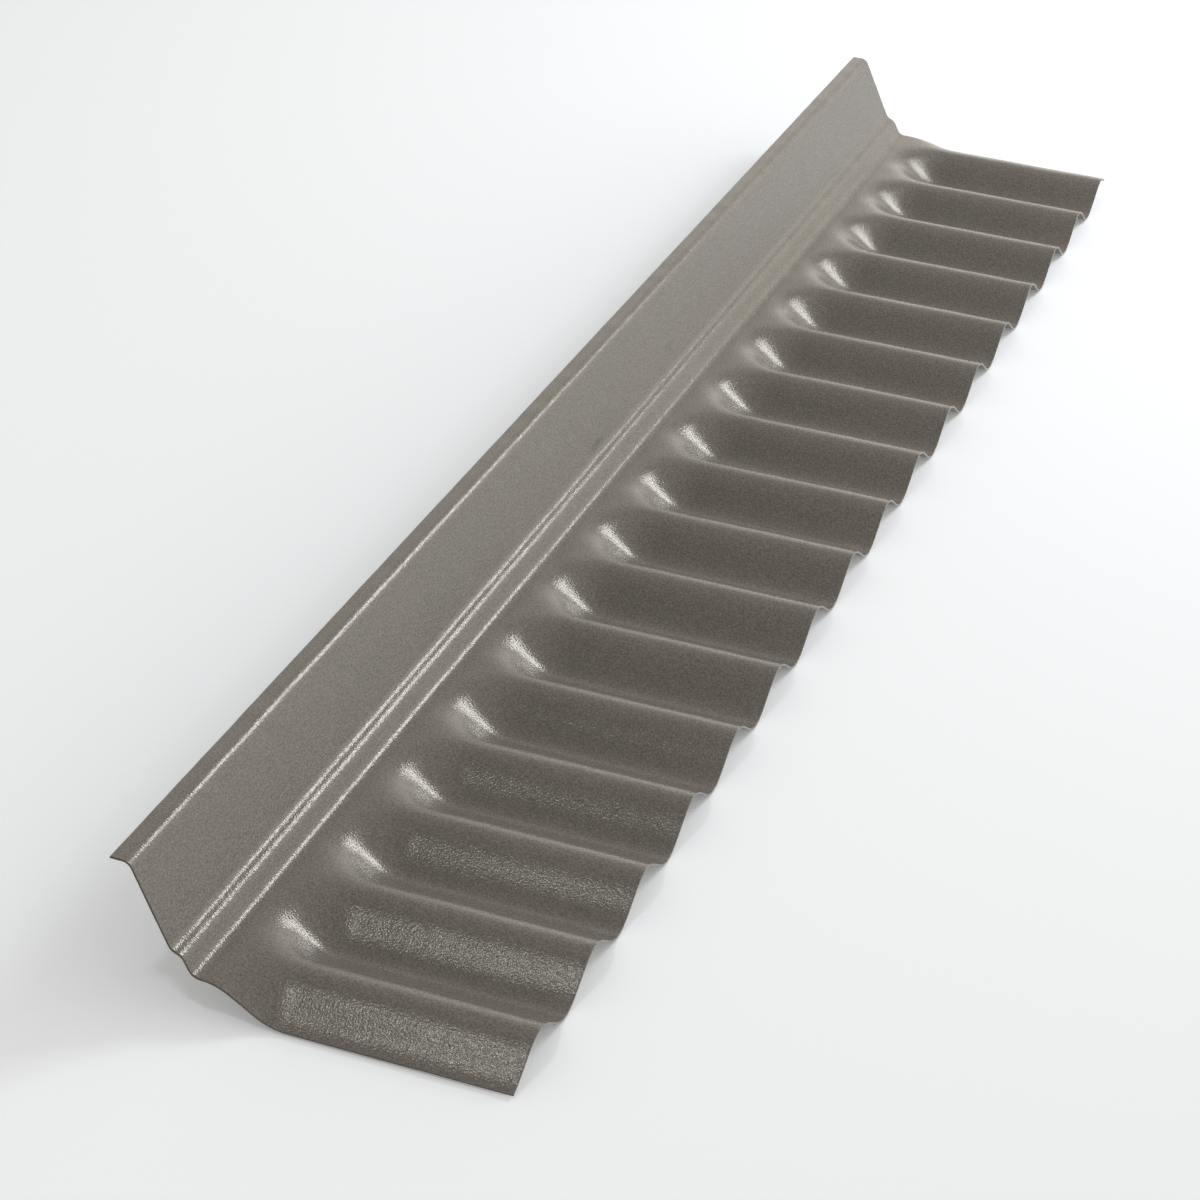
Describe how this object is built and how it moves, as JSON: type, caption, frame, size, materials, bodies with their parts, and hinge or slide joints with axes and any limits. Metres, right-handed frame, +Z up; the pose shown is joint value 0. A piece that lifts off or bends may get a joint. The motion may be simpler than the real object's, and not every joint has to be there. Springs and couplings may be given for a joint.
{
  "type": "corrugated roof wall flashing",
  "caption": "Thin wall flashing with a leaning upstand, a turned lip and a stepped crease, whose flat head runs through scooped transitions into a corrugated apron.",
  "frame": {"origin": "middle of the footprint, at the height of the valleys that the sheet lies on", "axes": "+X from the wall side to the free edge of the apron, +Y along the flashing, +Z up"},
  "size_m": [0.2108, 1.262, 0.0771],
  "materials": {
    "sheet": "semi-gloss grey-brown metallic-effect plastic sheet with a fine pebbled grain and small pale flakes"
  },
  "bodies": {
    "root": {"wall_flashing": "sheet"}
  },
  "joints": []
}
